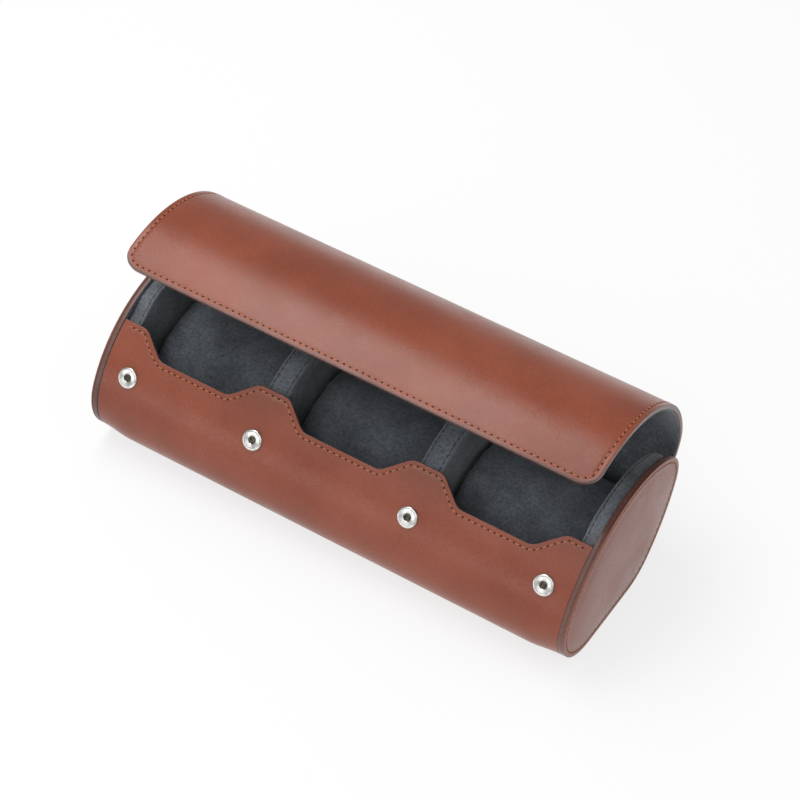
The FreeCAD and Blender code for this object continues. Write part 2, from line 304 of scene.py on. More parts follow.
def waxed_leather(name, dark, middle, light):
    """Clouded dye, pores and a changing sheen."""
    finish, nodes, links, shader = new_finish(name, 0.4)
    shader.inputs["Specular IOR Level"].default_value = 0.36
    where = nodes.new("ShaderNodeTexCoord")
    dye = clouds(nodes, links, where, DYE_CLOUDS, 5.0, ((0.28, dark), (0.52, middle), (0.76, light)))
    fleck = clouds(nodes, links, where, FLECKS, 3.0, ((0.3, (0.72, 0.7, 0.68)), (0.6, grey(1.0))))
    colour = multiply(nodes, links, dye.outputs["Color"], fleck.outputs["Color"], 0.55)
    links.new(colour, shader.inputs["Base Color"])
    sheen = clouds(nodes, links, where, SHEEN_CLOUDS, 4.0, ((0.3, grey(0.24)), (0.7, grey(0.33))))
    links.new(sheen.outputs["Color"], shader.inputs["Roughness"])
    pores = nodes.new("ShaderNodeTexVoronoi")
    pores.feature = "DISTANCE_TO_EDGE"
    pores.inputs["Scale"].default_value = PORES
    links.new(where.outputs["Object"], pores.inputs["Vector"])
    drape = clouds(nodes, links, where, DRAPE_CLOUDS, 2.0, ((0.0, grey(0.0)), (1.0, grey(1.0))))
    heights = ((pores.outputs["Distance"], 0.16, 0.0004), (drape.outputs["Color"], 0.15, 0.0012))
    bumps(nodes, links, heights, shader)
    return finish


LEATHER = waxed_leather(
    "waxed_leather", (0.193, 0.043, 0.0195), (0.238, 0.0545, 0.025), (0.282, 0.071, 0.036))
EDGE_PAINT = waxed_leather(
    "painted_edge", (0.10, 0.043, 0.033), (0.14, 0.061, 0.047), (0.19, 0.088, 0.070))
print("leather and painted edge")

# %% [markdown]
# Microsuede is matt, blue-grey and short-napped. Light catches the nap at a grazing angle, which is what
# sheen does, and stroking leaves lighter and darker patches. The thread and nickel are simpler.

# %% Suede, thread and nickel
STROKES = 70.0
TUFTS = 740.0
NAP = 2600.0
THREAD_FIBRES = 2500.0


def napped_suede(name, dark, light):
    """Stroked patches, tufts and a fine nap."""
    finish, nodes, links, shader = new_finish(name, 0.95)
    where = nodes.new("ShaderNodeTexCoord")
    strokes = clouds(nodes, links, where, STROKES, 8.0, ((0.3, dark), (0.7, light)))
    tufts = clouds(nodes, links, where, TUFTS, 5.0, ((0.32, grey(0.54)), (0.68, grey(1.0))))
    nap = clouds(nodes, links, where, NAP, 2.0, ((0.3, grey(0.6)), (0.66, grey(1.0))))
    stroked = multiply(nodes, links, strokes.outputs["Color"], tufts.outputs["Color"], 0.9)
    links.new(multiply(nodes, links, stroked, nap.outputs["Color"], 0.7), shader.inputs["Base Color"])
    heights = ((nap.outputs["Color"], 0.35, 0.0003), (tufts.outputs["Color"], 0.35, 0.0005))
    bumps(nodes, links, heights, shader)
    shader.inputs["Sheen Weight"].default_value = 0.3
    shader.inputs["Sheen Roughness"].default_value = 0.4
    shader.inputs["Specular IOR Level"].default_value = 0.2
    return finish


def plain_finish(name, dark, light, scale, roughness, metallic=0.0):
    """Two tones of noise and a slight bump."""
    finish, nodes, links, shader = new_finish(name, roughness, metallic)
    where = nodes.new("ShaderNodeTexCoord")
    tone = clouds(nodes, links, where, scale, 3.0, ((0.35, dark), (0.65, light)))
    links.new(tone.outputs["Color"], shader.inputs["Base Color"])
    bumps(nodes, links, ((tone.outputs["Color"], 0.1, 0.0002),), shader)
    return finish


SUEDE = napped_suede("blue_grey_suede", (0.143, 0.158, 0.176), (0.248, 0.271, 0.298))
PILLOW_SUEDE = napped_suede("dark_grey_suede", (0.108, 0.120, 0.136), (0.193, 0.213, 0.238))
TAN_THREAD = plain_finish("tan_thread", (0.34, 0.10, 0.036), (0.50, 0.175, 0.07), THREAD_FIBRES, 0.6)
GREY_THREAD = plain_finish("grey_thread", (0.02, 0.022, 0.025), (0.045, 0.05, 0.055), THREAD_FIBRES, 0.7)
# Awl holes are flat near-black discs: painted shade where the holes are.
AWL_HOLE_SHADE = plain_finish("awl_hole_shade", (0.018, 0.006, 0.003), (0.03, 0.010, 0.006), scale=900.0, roughness=0.95)
NICKEL = plain_finish(
    "bright_nickel", (0.50, 0.49, 0.47), (0.66, 0.65, 0.63), scale=500.0, roughness=0.24, metallic=1.0)
# The well in the middle of each socket is darker nickel: painted shade in its recess.
WELL_PAINTED_SHADE = plain_finish(
    "well_painted_shade", (0.05, 0.045, 0.035), (0.14, 0.125, 0.10), scale=700.0, roughness=0.4, metallic=1.0)
print("finishes:", len(bpy.data.materials))

# %% [markdown]
# A sheet starts as a flat grid whose columns are places along the roll and whose rows are distances from
# its cut edge. Rows and columns crowd together at the edges, so that the leather can dip at the
# stitching, where the thread pulls it in.

# %% Rows and columns of a sheet
EDGE_STEPS = (0.0, 0.5, 1.0, 1.5, 2.0, 2.5, 3.0, 3.6, 4.4, 5.6, 7.2)
SEW_INSET = 2.5
DIP_DEPTH = 0.12
DIP_WIDTH = 0.8


def crowded(length, step):
    """Distances from an edge, close together near it."""
    spots = list(EDGE_STEPS)
    count = round((length - spots[-1]) / step)
    for k in range(1, count + 1):
        spots.append(EDGE_STEPS[-1] + (length - EDGE_STEPS[-1]) * k / count)
    return spots


def across(half, step):
    """Columns from one end of the roll to the other, close together at both."""
    right = [half - spot for spot in crowded(half, step)]
    return [-x for x in right] + right[-2::-1]


def ease(t):
    """A step from 0 to 1 that starts and ends gently."""
    t = min(max(t, 0.0), 1.0)
    return t * t * (3.0 - 2.0 * t)


def sewn_dip(gap):
    """How far the thread pulls the leather in, at a gap from its edge."""
    return -DIP_DEPTH * math.exp(-((gap - SEW_INSET) / DIP_WIDTH) ** 2)


print("rows crowded at an edge:", len(EDGE_STEPS))

# %% [markdown]
# Each vertex of the grid is carried onto the line that the sheet is bent along. A Curve modifier could bend
# it too, but here the leather also dips at its stitching and swells at the toe. Solidify gives the sheet
# its thickness with painted edge faces, and a small bevel takes the sharpness off.

# %% Bent sheets
SECTION_MIDDLE = Vector((0.0, 2.0, 30.0))
EDGE_SOFTNESS = 0.55
SHARP_EDGE = math.radians(50.0)


def as_piece(name, bm, *finishes):
    """Make a bmesh a smooth-shaded object with its finishes."""
    mesh = bpy.data.meshes.new(name)
    bm.to_mesh(mesh)
    bm.free()
    for finish in finishes:
        mesh.materials.append(finish)
    for polygon in mesh.polygons:
        polygon.use_smooth = True
    piece = bpy.data.objects.new(name, mesh)
    bpy.context.scene.collection.objects.link(piece)
    return piece


def settle(piece):
    """Make the modifiers' result the piece's own mesh."""
    graph = bpy.context.evaluated_depsgraph_get()
    mesh = bpy.data.meshes.new_from_object(piece.evaluated_get(graph))
    piece.modifiers.clear()
    piece.data = mesh
    return piece


def bent_sheet(name, path, columns, rows, spot, thick, finishes, soften=EDGE_SOFTNESS, painted=0.0):
    """A grid carried onto the path by spot. Its edges, and its rows up to painted, take the last finish."""
    bm = bmesh.new()
    last_x, last_y = len(columns) - 1, len(rows) - 1
    bmesh.ops.create_grid(bm, x_segments=last_x, y_segments=last_y, size=1.0)
    for face in bm.faces:
        row = rows[int((face.calc_center_median().y + 1.0) / 2.0 * last_y)]
        if row < painted:
            face.material_index = len(finishes) - 1
    for vert in bm.verts:
        column = columns[round((vert.co.x + 1.0) / 2.0 * last_x)]
        row = rows[round((vert.co.y + 1.0) / 2.0 * last_y)]
        x, s, lift = spot(column, row)
        vert.co = path.point(x, s, lift)
    bmesh.ops.recalc_face_normals(bm, faces=bm.faces[:])
    bm.faces.ensure_lookup_table()
    sample = bm.faces[len(bm.faces) // 2]
    away = sample.calc_center_median() - SECTION_MIDDLE * MM
    if sample.normal.dot(away) < 0.0:
        bmesh.ops.reverse_faces(bm, faces=bm.faces[:])
    piece = as_piece(name, bm, *finishes)
    body = piece.modifiers.new("thickness", "SOLIDIFY")
    body.thickness = thick * MM
    body.offset = -1.0
    body.material_offset_rim = len(finishes) - 1
    edge = piece.modifiers.new("soft edge", "BEVEL")
    edge.width = soften * MM
    edge.material = len(finishes) - 1
    edge.segments = 2
    edge.limit_method = "ANGLE"
    edge.angle_limit = SHARP_EDGE
    return settle(piece)


print("cut edges are softened by %.2f mm" % EDGE_SOFTNESS)

# %% [markdown]
# The front edge is cut in shallow bays with a tab at each divider and half a tab at each end, so a watch
# can be lifted out. A boolean could cut it, but then no row of faces would follow the edge. Here it is a
# distance down the leather for every place along the roll, made of straight ramps with rounded corners.

# %% The scalloped edge
PANEL_X = 126.0
DIVIDER_X = 41.4
TAB_TOP = 213.3
BAY_FLOOR = 224.0
# Half widths of a tab at its top and at its foot.
DIVIDER_TAB = (8.2, 20.6)
END_TAB = (13.0, 25.6)
TABS = ((-DIVIDER_X, *DIVIDER_TAB), (DIVIDER_X, *DIVIDER_TAB), (-PANEL_X, *END_TAB), (PANEL_X, *END_TAB))
TAB_ROUNDING = 0.2
CROWN_RADIUS = TURNS[-1][0]


def ramp_area(t):
    """Area under a straight ramp that climbs from 0 to 1."""
    if t <= 0.0:
        return 0.0
    return t * t / 2.0 if t < 1.0 else t - 0.5


def rounded_ramp(t):
    """A straight ramp with both its corners rounded."""
    return (ramp_area(t + TAB_ROUNDING) - ramp_area(t - TAB_ROUNDING)) / (2.0 * TAB_ROUNDING)


def front_edge(x):
    """Distance along the front line of the cut edge."""
    tab = 0.0
    for centre, top, foot in TABS:
        tab = max(tab, 1.0 - rounded_ramp((abs(x - centre) - top) / (foot - top)))
    direction = BAY_FLOOR - (BAY_FLOOR - TAB_TOP) * tab
    return math.radians(direction - EDGE_ROOM) * (CROWN_RADIUS + WRAP_SKIN)


print("the bays are %.1f mm deep" % (front_edge(0.0) - front_edge(DIVIDER_X)))

# %% [markdown]
# The front of the wrap is one sheet of leather with a thin suede lining behind it. It stands out a little
# where it turns under at the toe. Both sheets have the same rows, so that their cut edges run together.

# %% Front of the wrap
WRAP_HALF = 125.9
WRAP_THICK = 2.3
LINING_THICK = 0.7
LINING_INSET = 0.8
# How far from the cut edge the rows begin to lose the scallops, and over what length they do.
EVEN_FROM = 8.0
EVEN_OVER = 30.0
TOE_SWELL = 2.0
TOE_FROM = 262.0
TOE_TO = 356.0
TOE_LEAST = 0.3
TOE_EASE = 16.0


def toe_swell(path, x, s):
    """How far the leather stands out round the toe, less towards the end panels."""
    part = (path.direction(s) - TOE_FROM) / (TOE_TO - TOE_FROM)
    if not 0.0 < part < 1.0:
        return 0.0
    full = TOE_LEAST + (1.0 - TOE_LEAST) * ease((WRAP_HALF - abs(x)) / TOE_EASE)
    return TOE_SWELL * full * math.sin(math.pi * part) ** 2


def front_spot(path, inset):
    """Where a column and row of a front sheet go: x, distance along the path and lift."""
    level = front_edge(0.0)

    def spot(column, row):
        even = ease((row - EVEN_FROM) / EVEN_OVER)
        s = front_edge(column) * (1.0 - even) + level * even + row + inset
        s = min(s, path.length)
        dip = 0.0 if inset else sewn_dip(row)
        return column, s, dip + toe_swell(path, column, s)

    return spot


front_rows = crowded(LEATHER_FRONT.length - front_edge(0.0), step=2.5)
front_wrap = bent_sheet(
    "front_wrap", LEATHER_FRONT, across(WRAP_HALF, step=1.25), front_rows, front_spot(LEATHER_FRONT, 0.0),
    WRAP_THICK, (LEATHER, EDGE_PAINT))
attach(front_wrap, "case")
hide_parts("outer_wrap", "wrap_board")
front_lining = bent_sheet(
    "front_lining", LINING_FRONT, across(WRAP_HALF, step=2.0), front_rows,
    front_spot(LINING_FRONT, LINING_INSET), LINING_THICK, (SUEDE,))
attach(front_lining, "case")
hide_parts("wrap_lining")
print("front wrap", len(front_wrap.data.polygons), "faces")

# %% [markdown]
# The flap is one stiff sheet with rounded front corners. It is a little narrower than the wrap, so its
# width shrinks along the hinge. Between the end of the wrap and the start of the flap the hide follows
# the smooth bend of its line.

# %% Back, hinge and flap
FLAP_HALF = 124.0
FLAP_CORNER = 9.0
FLAP_THICK = 2.35
FLAP_PAINT = 0.6
FLAP_LINING_INSET = 0.3
SUEDE_SOFTNESS = 0.2
# How far from the front edge the rows begin to lose the rounded corners, and over what length they do.
FLAP_EVEN_FROM = 10.0
FLAP_EVEN_OVER = 40.0
DIP_RUN = 20.0


def flap_edge(x, length):
    """Distance along the line of the flap's front edge, with its rounded corners."""
    over = abs(x) - (FLAP_HALF - FLAP_CORNER)
    if over <= 0.0:
        return length
    return length - FLAP_CORNER + math.sqrt(max(FLAP_CORNER**2 - over**2, 0.0))


def back_spot(path, inset):
    """Where a column and row of a back sheet go: x, distance along the path and lift."""

    def spot(column, row):
        even = ease((row - FLAP_EVEN_FROM) / FLAP_EVEN_OVER)
        s = flap_edge(column, path.length) * (1.0 - even) + path.length * even - row - inset
        s = max(s, 0.0)
        past_bend = (s - path.bend_from) / (path.bend_to - path.bend_from)
        wide = WRAP_HALF + (FLAP_HALF - WRAP_HALF) * ease(past_bend)
        gap = min(row, FLAP_HALF - abs(column))
        dip = 0.0 if inset else sewn_dip(gap) * ease((s - path.bend_from) / DIP_RUN)
        return column * (wide - inset) / FLAP_HALF, s, dip

    return spot


def blend_hinge(piece, path):
    """Find where the bend starts and ends, and bake the piece's transform into its mesh."""
    start = path.point(0.0, path.bend_from)
    end = Vector((start.x, start.y, path.point(0.0, path.bend_to).z))
    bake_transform(piece)


flap_hide = bent_sheet(
    "flap_hide", LEATHER_BACK, across(FLAP_HALF, step=2.0), crowded(LEATHER_BACK.length, step=2.5),
    back_spot(LEATHER_BACK, 0.0), FLAP_THICK, (LEATHER, EDGE_PAINT), painted=FLAP_PAINT)
blend_hinge(flap_hide, LEATHER_BACK)
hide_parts("hinge_leather", "flap_leather", "flap_board")
flap_suede = bent_sheet(
    "flap_suede", LINING_BACK, across(FLAP_HALF, step=3.0), crowded(LINING_BACK.length, step=3.0),
    back_spot(LINING_BACK, FLAP_LINING_INSET), LINING_THICK, (SUEDE,), soften=SUEDE_SOFTNESS)
blend_hinge(flap_suede, LINING_BACK)
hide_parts("flap_lining")
print("flap hide", len(flap_hide.data.polygons), "faces")

# %% [markdown]
# The end panels and the walls inside all have the section's outline. It is drawn as a ring of vertices and
# filled with one face, which is then extruded. Where no wrap covers them, the end walls stand up closer to
# the outline, so their rings can rise there.

# %% Outline of the panels and walls
RING_STEP = 2.0
WALL_RISE = 1.9
RISE_FROM = 100.0
RISE_TO = 211.0
RISE_RUN = 12.0


def bare_rise(direction):
    """How far an end wall stands up at a direction where no wrap covers it."""
    return WALL_RISE * ease((direction - RISE_FROM) / RISE_RUN) * ease((RISE_TO - direction) / RISE_RUN)


def section_ring(bm, offset, x, rises=False):
    """A ring of vertices round the section, standing up where no wrap covers it if it rises."""
    spots = follow(SECTION, 0.0, 360.0, offset, RING_STEP)
    count = round((BASE_BACK - BASE_FRONT) / RING_STEP)
    for k in range(1, count):
        spots.append((BASE_FRONT + (BASE_BACK - BASE_FRONT) * k / count, -offset))
    if rises:
        turns = len(spots)
        lifted = []
        for k in range(turns):
            (y0, z0), (y1, z1) = spots[k - 1], spots[(k + 1) % turns]
            run = Vector((y1 - y0, z1 - z0)).normalized()
            rise = bare_rise(math.degrees(math.atan2(run.y, run.x)) % 360.0)
            lifted.append((spots[k][0] + run.y * rise, spots[k][1] - run.x * rise))
        spots = lifted
    return [bm.verts.new(Vector((x, y, z)) * MM) for y, z in spots]


def raised(bm, face, height):
    """Extrude a face along X and give back the face at its new end."""
    grown = bmesh.ops.extrude_face_region(bm, geom=[face])["geom"]
    verts = [part for part in grown if isinstance(part, bmesh.types.BMVert)]
    bmesh.ops.translate(bm, verts=verts, vec=(height * MM, 0.0, 0.0))
    return [part for part in grown if isinstance(part, bmesh.types.BMFace)][0]


def facing(bm, side):
    """Turn a right-hand piece into the one for that side."""
    if side < 0:
        bmesh.ops.scale(bm, verts=bm.verts[:], vec=(-1.0, 1.0, 1.0))
    bmesh.ops.recalc_face_normals(bm, faces=bm.faces[:])


print("the end walls rise %.1f mm where they are bare" % WALL_RISE)

# %% [markdown]
# An end panel is two layers of leather with a pad between them. The outer layer is inset again and again:
# first for the rounded rim, then for the flat border with its sewn groove, then for the swell over the
# pad. Each inset keeps an even distance from the rim, as the border of the real panel does.

# %% Padded end covers
COVER_X = 128.05
COVER_THICK = 0.75
# How far each ring lies inside the one before, and how far above it.
RIM_STEPS = ((0.1, 0.22), (0.24, 0.1), (1.5, 0.0), (0.4, -0.1), (0.5, 0.0), (0.4, 0.1), (0.9, 0.0))
SWELL_STEPS = (
    (1.0, 0.05), (1.2, 0.12), (1.4, 0.16), (1.8, 0.14), (2.6, 0.12), (3.6, 0.1), (3.4, 0.05))


def end_cover(name, side):
    """The padded outer leather of an end panel."""
    bm = bmesh.new()
    face = bm.faces.new(section_ring(bm, 0.0, COVER_X))
    top = raised(bm, face, COVER_THICK)
    bm.normal_update()
    if top.normal.x < 0.0:
        bmesh.ops.reverse_faces(bm, faces=bm.faces[:])
    rim = [f for f in bm.faces if abs(f.normal.x) < 0.5]
    for thickness, depth in RIM_STEPS + SWELL_STEPS:
        bmesh.ops.inset_region(
            bm, faces=[top], thickness=thickness * MM, depth=depth * MM, use_even_offset=True)
    bmesh.ops.poke(bm, faces=[top])
    for f in rim:
        f.material_index = 1
    facing(bm, side)
    piece = as_piece(name, bm, LEATHER, EDGE_PAINT)
    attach(piece, "case")
    return piece


print("a cover swells %.2f mm above its border" % sum(rise for inset, rise in SWELL_STEPS))

# %% [markdown]
# The layer behind each cover, the suede inner walls and the two dividers are plain slabs with rounded edges.
# The suede ones are a little smaller than the outline, because the wrap lies over them.

# %% Panels, inner walls and dividers
BACKING_END = 128.0
BACKING_ROUND = 0.15
INNER_WALL_X = 118.6
INNER_WALL_ROUND = 1.2
DIVIDER_HALF = 5.8
DIVIDER_ROUND = 1.6
WALL_SKIN = -3.6


def wall(name, side, x_from, x_to, offset, rounding, finishes, rises=False):
    """A slab with the section's outline. Three finishes are for its outer face, rim and inner face."""
    bm = bmesh.new()
    face = bm.faces.new(section_ring(bm, offset, x_from, rises=rises))
    raised(bm, face, x_to - x_from)
    corners = []
    for edge in bm.edges:
        if len(edge.link_faces) == 2 and {len(f.verts) > 4 for f in edge.link_faces} == {True, False}:
            corners.append(edge)
    if len(finishes) > 1:
        for f in bm.faces:
            rim = len(f.verts) == 4
            inside = f.calc_center_median().x < (x_from + x_to) / 2.0 * MM
            f.material_index = 1 if rim else 2 if inside else 0
    bmesh.ops.bevel(
        bm, geom=corners, offset=rounding * MM, segments=3, profile=0.5, affect="EDGES", material=-1)
    facing(bm, side)
    piece = as_piece(name, bm, *finishes)
    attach(piece, "case")
    return piece


for label, side in SIDES:
    cover = end_cover(label + "_panel", side)
    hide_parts(label + "_end_cover", label + "_end_padding")
    backing = wall(
        label + "_panel_backing", side, PANEL_X, BACKING_END, 0.0, BACKING_ROUND,
        (LEATHER, EDGE_PAINT, SUEDE))
    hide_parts(label + "_end_backing")
    inner = wall(
        label + "_inner_wall", side, INNER_WALL_X, WRAP_HALF, WALL_SKIN, INNER_WALL_ROUND,
        (SUEDE,), rises=True)
    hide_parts(label + "_inner_wall_cover", label + "_inner_wall_board")
    divider = wall(
        label + "_divider", side, DIVIDER_X - DIVIDER_HALF, DIVIDER_X + DIVIDER_HALF, WALL_SKIN,
        DIVIDER_ROUND, (SUEDE,))
    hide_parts(label + "_divider_cover", label + "_divider_board")
print("end panels, inner walls and dividers")

# %% [markdown]
# The seams are rows of short slanted stitches of thick thread, each going down an awl hole. A curve could
# be the thread, but only the stitches show. So a stitch is a small squashed ball of a few dozen faces, and
# a whole seam is one mesh.

# %% Stitches
STITCH_PITCH = 3.3
# Length, width and height of a stitch.
TAN_STITCH = (2.4, 0.64, 0.44)
TAN_LEAN = 9.0
STITCH_LIFT = 0.05
HOLE_RADIUS = 0.46
HOLE_LIFT = 0.04


def along_seam(spots, pitch):
    """Evenly spaced (place, run, normal) along dense (place, normal) samples."""
    marks = []
    gone = pitch / 2.0
    for (a, na), (b, nb) in zip(spots, spots[1:]):
        run = b - a
        length = run.length / MM
        while gone <= length and length > 0.0:
            t = gone / length
            marks.append((a.lerp(b, t), run.normalized(), na.lerp(nb, t).normalized()))
            gone += pitch
        gone -= length
    return marks


def along(run, normal):
    """A turn that lays X along the seam and Z along the normal."""
    return Matrix((run, normal.cross(run).normalized(), normal)).transposed().to_4x4()


def seam(name, spots, body, thread, size=TAN_STITCH, lean=TAN_LEAN, holes=True):
    """One mesh of stitches, with a flat disc of painted shade for the awl hole after each if there are
    holes.
    """
    bm = bmesh.new()
    marks = along_seam(spots, STITCH_PITCH)
    slant = Matrix.Rotation(math.radians(lean), 4, "Z")
    shape = Matrix.Diagonal((*(extent * MM / 2.0 for extent in size), 1.0))
    for place, run, normal in marks:
        at = Matrix.Translation(place + normal * (STITCH_LIFT * MM)) @ along(run, normal) @ slant @ shape
        bmesh.ops.create_uvsphere(bm, u_segments=8, v_segments=5, radius=1.0, matrix=at)
    stitched = len(bm.faces)
    if holes:
        # Each awl hole is a flat disc of painted shade laid on the leather.
        for place, run, normal in marks:
            centre = place + run * (STITCH_PITCH * MM / 2.0) + normal * (HOLE_LIFT * MM)
            at = Matrix.Translation(centre) @ along(run, normal)
            made = bmesh.ops.create_circle(
                bm, cap_ends=True, segments=8, radius=HOLE_RADIUS * MM, matrix=at)
            for face in {f for vert in made["verts"] for f in vert.link_faces}:
                face.material_index = 1
    piece = as_piece(name, bm, thread, AWL_HOLE_SHADE)
    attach(piece, body)
    print(name, len(marks), "stitches,", stitched, "faces")
    return piece


print("a stitch every %.1f mm" % STITCH_PITCH)

# %% [markdown]
# Tan thread follows the scalloped edge, three sides of the flap and the border of both end panels. Each
# line is sampled closely first. The stitches are then spaced evenly along it, as a pricking iron marks them.

# %% Seams in the leather
SEAM_SINK = 0.05
SCALLOP_SEAM_HALF = 123
SAMPLES_PER_MM = 10
SLOPE_STEP = 0.05
FLAP_SEAM_START = 4
CORNER_STEPS = 30
PANEL_SEAM_X = 129.06
PANEL_SEAM_INSET = 2.45


def sheet_seam(path, line):
    """Samples for a seam along (x, distance) places on a bent sheet."""
    return [(path.point(x, s, -SEAM_SINK), path.normal(s)) for x, s in line]


scallop_line = []
for k in range(-SCALLOP_SEAM_HALF * SAMPLES_PER_MM, SCALLOP_SEAM_HALF * SAMPLES_PER_MM + 1):
    x = k / SAMPLES_PER_MM
    slope = (front_edge(x + SLOPE_STEP) - front_edge(x - SLOPE_STEP)) / (2.0 * SLOPE_STEP)
    size = math.hypot(1.0, slope)
    scallop_line.append((x - SEW_INSET * slope / size, front_edge(x) + SEW_INSET / size))
seam("front_edge_seam", sheet_seam(LEATHER_FRONT, scallop_line), "case", TAN_THREAD)

flap_line = []
flap_run = LEATHER_BACK.length - FLAP_CORNER
for k in range(int(LEATHER_BACK.bend_to) + FLAP_SEAM_START, int(flap_run)):
    flap_line.append((FLAP_HALF - SEW_INSET, float(k)))
reach = FLAP_CORNER - SEW_INSET
for k in range(CORNER_STEPS + 1):
    turn = math.radians(90.0 * k / CORNER_STEPS)
    flap_line.append((FLAP_HALF - FLAP_CORNER + reach * math.cos(turn), flap_run + reach * math.sin(turn)))
flap_line = flap_line + [(-x, s) for x, s in reversed(flap_line)]
seam("flap_seam", sheet_seam(LEATHER_BACK, flap_line), "flap", TAN_THREAD)

ring = follow(SECTION, 0.0, 360.0, -PANEL_SEAM_INSET, step=1.0)
ring = ring + [ring[0]]
for label, side in SIDES:
    spots = [(Vector((side * PANEL_SEAM_X, y, z)) * MM, Vector((side, 0.0, 0.0))) for y, z in ring]
    seam(label + "_panel_seam", spots, "case", TAN_THREAD)

# %% [markdown]
# The suede walls are closed with a fine grey seam near each edge of their rims. On the end walls the seam
# climbs with the rim where it stands free of the wrap.

# %% Seams on the suede walls
RIM_FROM = 100.0
RIM_TO = 255.0
RIM_SAMPLES = 200
WALL_RIM = Path(follow(SECTION, RIM_FROM, RIM_TO, WALL_SKIN))
GREY_STITCH = (3.1, 0.5, 0.3)
GREY_LEAN = 2.0
DIVIDER_SEAM = 4.1
WALL_SEAM_X = 120.2
RIM_SEAMS = (
    ("divider_outer", DIVIDER_X + DIVIDER_SEAM), ("divider_inner", DIVIDER_X - DIVIDER_SEAM),
    ("wall", WALL_SEAM_X))


def rim_seam(x, rises):
    """A seam over the rim of a suede wall."""
    spots = []
    for k in range(RIM_SAMPLES + 1):
        s = k * WALL_RIM.length / RIM_SAMPLES
        rise = bare_rise(WALL_RIM.direction(s)) if rises else 0.0
        spots.append((WALL_RIM.point(x, s, rise), WALL_RIM.normal(s)))
    return spots


for label, side in SIDES:
    for name, x in RIM_SEAMS:
        spots = rim_seam(side * x, rises=name == "wall")
        piece = seam(
            "%s_%s_seam" % (label, name), spots, "case", GREY_THREAD, GREY_STITCH, GREY_LEAN, holes=False)

# %% [markdown]
# Each cushion is a suede sleeve over foam, full in the middle and drawn in at its ends. It starts a little
# small as a chain of rings, which bridge_loops joins, and is remeshed into even cloth, because the cloth
# run that follows needs faces of one size.

# %% Sleeves of the cushions
CUSHION_SCALE = 0.62
CUSHION_BACK = 8.0
CUSHION_CENTRE = (1.0, 23.0)
SEAT = 4.6
END_ROOM = 1.2
RING_SPACING = 3.0
# Share of the half length and how far the sleeve is drawn in there.
STATIONS = (
    (-1.0, 3.0), (-0.97, 1.4), (-0.88, 0.8), (-0.4, 0.3), (0.4, 0.3), (0.88, 0.8), (0.97, 1.4), (1.0, 3.0))
CLOTH_MESH = 3.5


def cushion_ring(bm, x, draw_in):
    """The section made smaller, drawn in towards its centre and lifted to the seat."""
    centre = Vector((x, *CUSHION_CENTRE))
    verts = []
    for y, z in follow(SECTION, 0.0, 360.0, 0.0, RING_SPACING):
        spot = Vector((x, CUSHION_BACK + (y - BASE_BACK) * CUSHION_SCALE, z * CUSHION_SCALE))
        spot = spot + (centre - spot).normalized() * draw_in
        verts.append(bm.verts.new((spot + Vector((0.0, 0.0, SEAT))) * MM))
    return verts


def cushion_start(half):
    """A closed chain of rings, a little smaller than the cushion."""
    bm = bmesh.new()
    loops = []
    for part, draw_in in STATIONS:
        verts = cushion_ring(bm, part * (half - END_ROOM), draw_in)
        loops.append([bm.edges.new((verts[k - 1], verts[k])) for k in range(len(verts))])
    for before, after in zip(loops, loops[1:]):
        bmesh.ops.bridge_loops(bm, edges=before + after)
    bmesh.ops.holes_fill(bm, edges=loops[0] + loops[-1], sides=0)
    bmesh.ops.recalc_face_normals(bm, faces=bm.faces[:])
    return bm


def even_cloth(piece):
    """Remesh the sleeve into faces of one size."""
    cloth = piece.modifiers.new("even cloth", "REMESH")
    cloth.mode = "VOXEL"
    cloth.voxel_size = CLOTH_MESH * MM
    settle(piece)


print("rings in a sleeve:", len(STATIONS))

# %% [markdown]
# The sleeve is blown up from inside by a short cloth run with no gravity, as its foam fills it. Shallow
# folds then gather at the ends, where the sleeve is closed. They are waves added up, so that they are the
# same each time.

# %% Filling and folds
CLOTH_QUALITY = 5
PRESSURE = 4.0
CLOTH_STEPS = 20
SWELL_CAP = 4.0
GATHER_CENTRE = (1.0, 28.0)
GATHER_FROM = 0.52
GATHER_OVER = 0.44
FOLD_DEPTH = 0.34
# Folds round an end: how many, how strong, and how they shift with the cushion and with the end.
FOLD_WAVES = ((11.0, 1.0, 1.7, 1.0), (19.0, 0.7, -1.0, 2.0))
SLACK_DEPTH = 0.9
SLACK_ALONG = 0.05
SLACK_ROUND = 1.6
SLACK_SHIFT = 7.3
SIDE_ROOM = 0.2


def plump(piece):
    """Blow the sleeve up over its filling, and keep each point within the cap of where it was."""
    rest = [vert.co.copy() for vert in piece.data.vertices]
    cloth = piece.modifiers.new("filling", "CLOTH")
    cloth.settings.quality = CLOTH_QUALITY
    cloth.settings.use_pressure = True
    cloth.settings.uniform_pressure_force = PRESSURE
    cloth.settings.effector_weights.gravity = 0.0
    scene = bpy.context.scene
    for step in range(1, CLOTH_STEPS + 1):
        scene.frame_set(step)
    settle(piece)
    scene.frame_set(1)
    for vert, start in zip(piece.data.vertices, rest):
        move = vert.co - start
        if move.length > SWELL_CAP * MM:
            vert.co = start + move.normalized() * SWELL_CAP * MM


def gather(piece, half, seed):
    """Shallow folds that run in from both closed ends, and a little slack all over."""
    middle_y, middle_z = GATHER_CENTRE
    for vert in piece.data.vertices:
        x = vert.co.x / MM
        near = ease((abs(x) - half * GATHER_FROM) / (half * GATHER_OVER))
        turn = math.atan2(vert.co.z / MM - middle_z, vert.co.y / MM - middle_y)
        side = 1.0 if x > 0.0 else -1.0
        fold = 0.0
        for count, strength, by_cushion, by_end in FOLD_WAVES:
            fold += strength * math.sin(count * turn + by_cushion * seed + by_end * side)
        slack = noise.noise(Vector((x * SLACK_ALONG, turn * SLACK_ROUND, seed * SLACK_SHIFT)))
        out = Vector((0.0, vert.co.y - middle_y * MM, vert.co.z - middle_z * MM)).normalized()
        vert.co += out * MM * (FOLD_DEPTH * near * fold + SLACK_DEPTH * slack)


